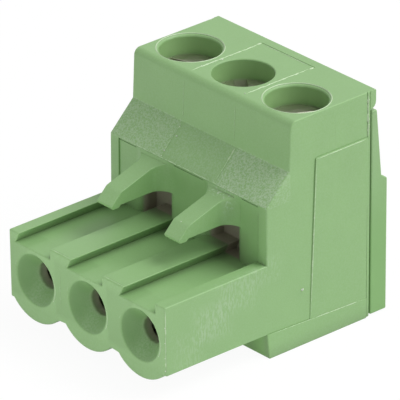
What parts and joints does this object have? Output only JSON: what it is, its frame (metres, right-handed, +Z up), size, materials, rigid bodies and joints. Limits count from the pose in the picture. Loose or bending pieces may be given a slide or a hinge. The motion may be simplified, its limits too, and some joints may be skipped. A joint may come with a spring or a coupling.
{
  "type": "pluggable terminal block",
  "caption": "Green cable plug for a pinned board header: pin funnels at the front, latch hooks and coding channels over them, screw clamps with wire entries behind.",
  "frame": {"origin": "middle of the footprint, on the surface the block stands on", "axes": "+X along the row of poles, +Y from the mating face to the wire side, +Z up along the screws"},
  "size_m": [0.0152, 0.0192, 0.0162],
  "materials": {
    "green_plastic": "moulded polyamide, fine grain with a soft sheen",
    "cover_plastic": "moulded polyamide, fine grain",
    "tinned_contact": "stamped copper alloy strip, tinned",
    "plated_steel": "bent steel strip, bright zinc",
    "screw_steel": "turned steel, bright zinc"
  },
  "bodies": {
    "block": {"housing": "green_plastic", "rear_cover": "cover_plastic", "contact_1": "tinned_contact", "contact_2": "tinned_contact", "contact_3": "tinned_contact"},
    "screw_body_1": {"screw_1": "screw_steel"},
    "screw_body_2": {"screw_2": "screw_steel"},
    "screw_body_3": {"screw_3": "screw_steel"},
    "cage_body_1": {"cage_1": "plated_steel"},
    "cage_body_2": {"cage_2": "plated_steel"},
    "cage_body_3": {"cage_3": "plated_steel"}
  },
  "joints": [
    {"name": "screw_1_turn", "type": "hinge", "parent": "block", "child": "screw_body_1", "pos_m": [-0.00508, 0.00391, 0.0128], "axis": [0, 0, -1], "range_deg": [0, 1800]},
    {"name": "screw_2_turn", "type": "hinge", "parent": "block", "child": "screw_body_2", "pos_m": [0, 0.00391, 0.0128], "axis": [0, 0, -1], "range_deg": [0, 1800]},
    {"name": "screw_3_turn", "type": "hinge", "parent": "block", "child": "screw_body_3", "pos_m": [0.00508, 0.00391, 0.0128], "axis": [0, 0, -1], "range_deg": [0, 1800]},
    {"name": "cage_1_lift", "type": "slide", "parent": "block", "child": "cage_body_1", "axis": [0, 0, 1], "range_m": [0, 0.0025]},
    {"name": "cage_2_lift", "type": "slide", "parent": "block", "child": "cage_body_2", "axis": [0, 0, 1], "range_m": [0, 0.0025]},
    {"name": "cage_3_lift", "type": "slide", "parent": "block", "child": "cage_body_3", "axis": [0, 0, 1], "range_m": [0, 0.0025]}
  ],
  "couplings": [
    {"joint": "screw_1_turn", "follows": "cage_1_lift", "rad_per_m": 12566},
    {"joint": "screw_2_turn", "follows": "cage_2_lift", "rad_per_m": 12566},
    {"joint": "screw_3_turn", "follows": "cage_3_lift", "rad_per_m": 12566}
  ]
}
